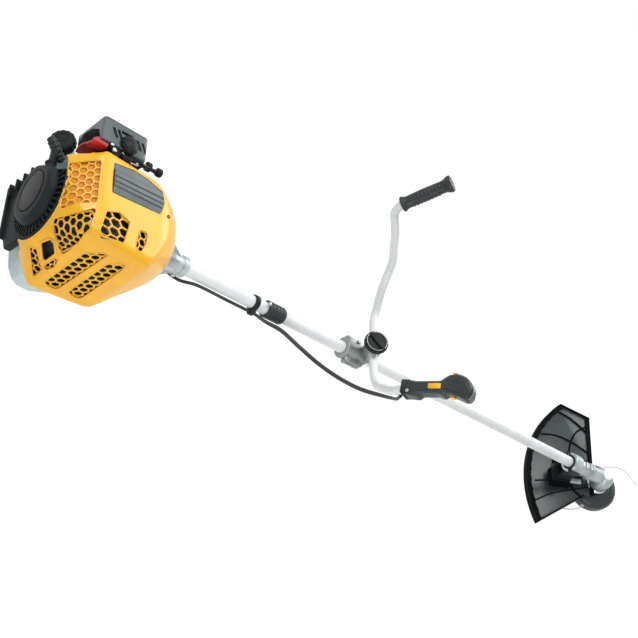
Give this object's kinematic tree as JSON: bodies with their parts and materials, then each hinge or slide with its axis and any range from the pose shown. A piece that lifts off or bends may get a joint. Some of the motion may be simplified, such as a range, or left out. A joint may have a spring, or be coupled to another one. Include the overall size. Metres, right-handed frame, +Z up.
{
  "type": "string trimmer",
  "caption": "Petrol string trimmer with a straight shaft, bicycle handlebar, trigger throttle grip, guarded line head and rear engine with a recoil starter.",
  "frame": {"origin": "middle of the flat underside of the engine foot, on the floor", "axes": "+X along the shaft from the engine to the cutting head, +Y to the user's left, +Z up"},
  "size_m": [2.0142, 0.5351, 0.5477],
  "materials": {
    "yellow_cover": "glossy moulded",
    "dark_grey": "fine satin texture",
    "badge": "plain disc, bare",
    "black_plastic": "moulded, slightly shiny",
    "filter_grey": "painted silver grey",
    "rubber": "matt",
    "rope": "braided",
    "bulb": "soft, smooth",
    "foam": "open cell foam",
    "control_yellow": "glossy",
    "red_plastic": "glossy",
    "milky_tank": "translucent milky",
    "cast_aluminium": "cast, satin",
    "tube_silver": "drawn, bright",
    "bar_silver": "plated tube",
    "cap_white": "glossy",
    "steel": "machined",
    "exhaust": "heat-dulled",
    "nylon_line": "clear white"
  },
  "bodies": {
    "frame": {"crankcase": "cast_aluminium", "cylinder": "cast_aluminium", "spark_plug": "steel", "muffler": "exhaust", "recoil_housing": "dark_grey", "starter_badge": "badge", "carburettor": "cast_aluminium", "cable_bracket": "steel", "air_filter_base": "black_plastic", "air_filter_element": "foam", "air_filter_cover": "filter_grey", "fuel_tank": "milky_tank", "engine_foot": "black_plastic", "engine_cover": "yellow_cover", "cover_panel": "dark_grey", "clutch_housing": "cast_aluminium", "shaft_tube": "tube_silver", "cable_clip": "black_plastic", "hanger_collar": "rubber", "throttle_cable": "rubber", "handle_base": "cast_aluminium", "handle_base_lower": "cast_aluminium", "handle_cap": "cast_aluminium", "gear_case": "cast_aluminium", "gear_cap": "cap_white", "guard": "black_plastic", "guard_bracket": "steel", "line_cutter": "steel"},
    "crank": {"crank_rear": "steel", "crank_front": "steel", "flywheel_fan": "cast_aluminium", "clutch_shoes": "steel"},
    "piston_set": {"piston": "cast_aluminium", "connecting_rod": "steel"},
    "starter_drum": {"starter_pulley": "black_plastic"},
    "starter_grip": {"starter_handle": "rubber", "starter_rope": "rope"},
    "tank_cap": {"fuel_cap": "dark_grey"},
    "choke": {"choke_lever": "red_plastic"},
    "primer": {"primer_bulb": "bulb"},
    "throttle_shaft": {"throttle_arm": "steel"},
    "filter_screw": {"filter_knob": "black_plastic"},
    "drive": {"clutch_drum": "steel", "drive_shaft": "steel", "pinion": "steel"},
    "cutting_head": {"output_gear": "steel", "head_housing": "black_plastic", "line_spool": "cap_white", "trimmer_line_a": "nylon_line", "trimmer_line_b": "nylon_line"},
    "bump": {"bump_knob": "black_plastic"},
    "bar": {"handlebar": "bar_silver", "left_grip": "rubber", "throttle_shell_front": "black_plastic", "throttle_shell_rear": "dark_grey"},
    "trigger": {"throttle_trigger": "black_plastic"},
    "safety": {"safety_lever": "control_yellow"},
    "stop": {"stop_switch": "control_yellow"},
    "lock": {"lock_button": "control_yellow"},
    "bar_knob": {"clamp_knob": "black_plastic"}
  },
  "joints": [
    {"name": "crank_spin", "type": "hinge", "parent": "frame", "child": "crank", "pos_m": [-0.059, 0, 0.156], "axis": [1, 0, 0], "continuous": true},
    {"name": "piston_stroke", "type": "slide", "parent": "frame", "child": "piston_set", "axis": [0, 0, 1], "range_m": [-0.032, 0]},
    {"name": "starter_drum_spin", "type": "hinge", "parent": "frame", "child": "starter_drum", "pos_m": [-0.133, 0, 0.156], "axis": [-1, 0, 0], "range_deg": [0, 1020], "stiffness_Nm_per_rad": 0.02},
    {"name": "starter_pull", "type": "slide", "parent": "frame", "child": "starter_grip", "axis": [0, 0.5, 0.866], "range_m": [0, 0.65], "deforming": ["starter_rope"]},
    {"name": "tank_cap_turn", "type": "hinge", "parent": "frame", "child": "tank_cap", "pos_m": [-0.1043, 0.131, 0.15565], "axis": [-0.7071, 0, 0.7071], "range_deg": [0, 540]},
    {"name": "choke_swing", "type": "hinge", "parent": "frame", "child": "choke", "pos_m": [-0.09, 0.078, 0.234], "axis": [0, 1, 0], "range_deg": [0, 60]},
    {"name": "primer_press", "type": "slide", "parent": "frame", "child": "primer", "axis": [0, 1, 0], "range_m": [0, 0.005], "stiffness_N_per_m": 300},
    {"name": "throttle_shaft_turn", "type": "hinge", "parent": "frame", "child": "throttle_shaft", "pos_m": [-0.055, 0.06815, 0.25], "axis": [0, 0, -1], "range_deg": [0, 40]},
    {"name": "filter_screw_turn", "type": "hinge", "parent": "frame", "child": "filter_screw", "pos_m": [-0.04, 0.098, 0.278], "axis": [0, 0, 1], "range_deg": [0, 540]},
    {"name": "head_spin", "type": "hinge", "parent": "frame", "child": "cutting_head", "pos_m": [1.693, 0, 0.156], "axis": [-0.5, 0, 0.866], "continuous": true},
    {"name": "drive_spin", "type": "hinge", "parent": "frame", "child": "drive", "pos_m": [0.9, 0, 0.156], "axis": [1, 0, 0], "continuous": true},
    {"name": "bump_press", "type": "slide", "parent": "cutting_head", "child": "bump", "axis": [-0.5, 0, 0.866], "range_m": [0, 0.006], "stiffness_N_per_m": 900},
    {"name": "bar_tilt", "type": "hinge", "parent": "frame", "child": "bar", "pos_m": [0.698, 0, 0.206], "axis": [0, 1, 0], "range_deg": [-20, 20], "deforming": ["throttle_cable"]},
    {"name": "trigger_pull", "type": "hinge", "parent": "bar", "child": "trigger", "pos_m": [0.61093, -0.23746, 0.48114], "axis": [0.0696, 0.9796, 0.1883], "range_deg": [0, 12], "stiffness_Nm_per_rad": 0.25},
    {"name": "safety_press", "type": "hinge", "parent": "bar", "child": "safety", "pos_m": [0.5723, -0.23233, 0.46607], "axis": [0.0696, 0.9796, 0.1883], "range_deg": [0, 9], "stiffness_Nm_per_rad": 0.15},
    {"name": "stop_slide", "type": "slide", "parent": "bar", "child": "stop", "axis": [0.3397, -0.2008, 0.9188], "range_m": [0, 0.007]},
    {"name": "lock_press", "type": "slide", "parent": "bar", "child": "lock", "axis": [0.0696, 0.9796, 0.1883], "range_m": [0, 0.004], "stiffness_N_per_m": 300},
    {"name": "bar_knob_turn", "type": "hinge", "parent": "frame", "child": "bar_knob", "pos_m": [0.698, 0, 0.206], "axis": [-0.5, 0, 0.866], "range_deg": [0, 720]}
  ],
  "couplings": [
    {"joint": "starter_pull", "follows": "starter_drum_spin", "m_per_rad": 0.0365},
    {"joint": "drive_spin", "follows": "head_spin", "ratio": -1.2667},
    {"joint": "throttle_shaft_turn", "follows": "trigger_pull", "ratio": 3.3333}
  ]
}
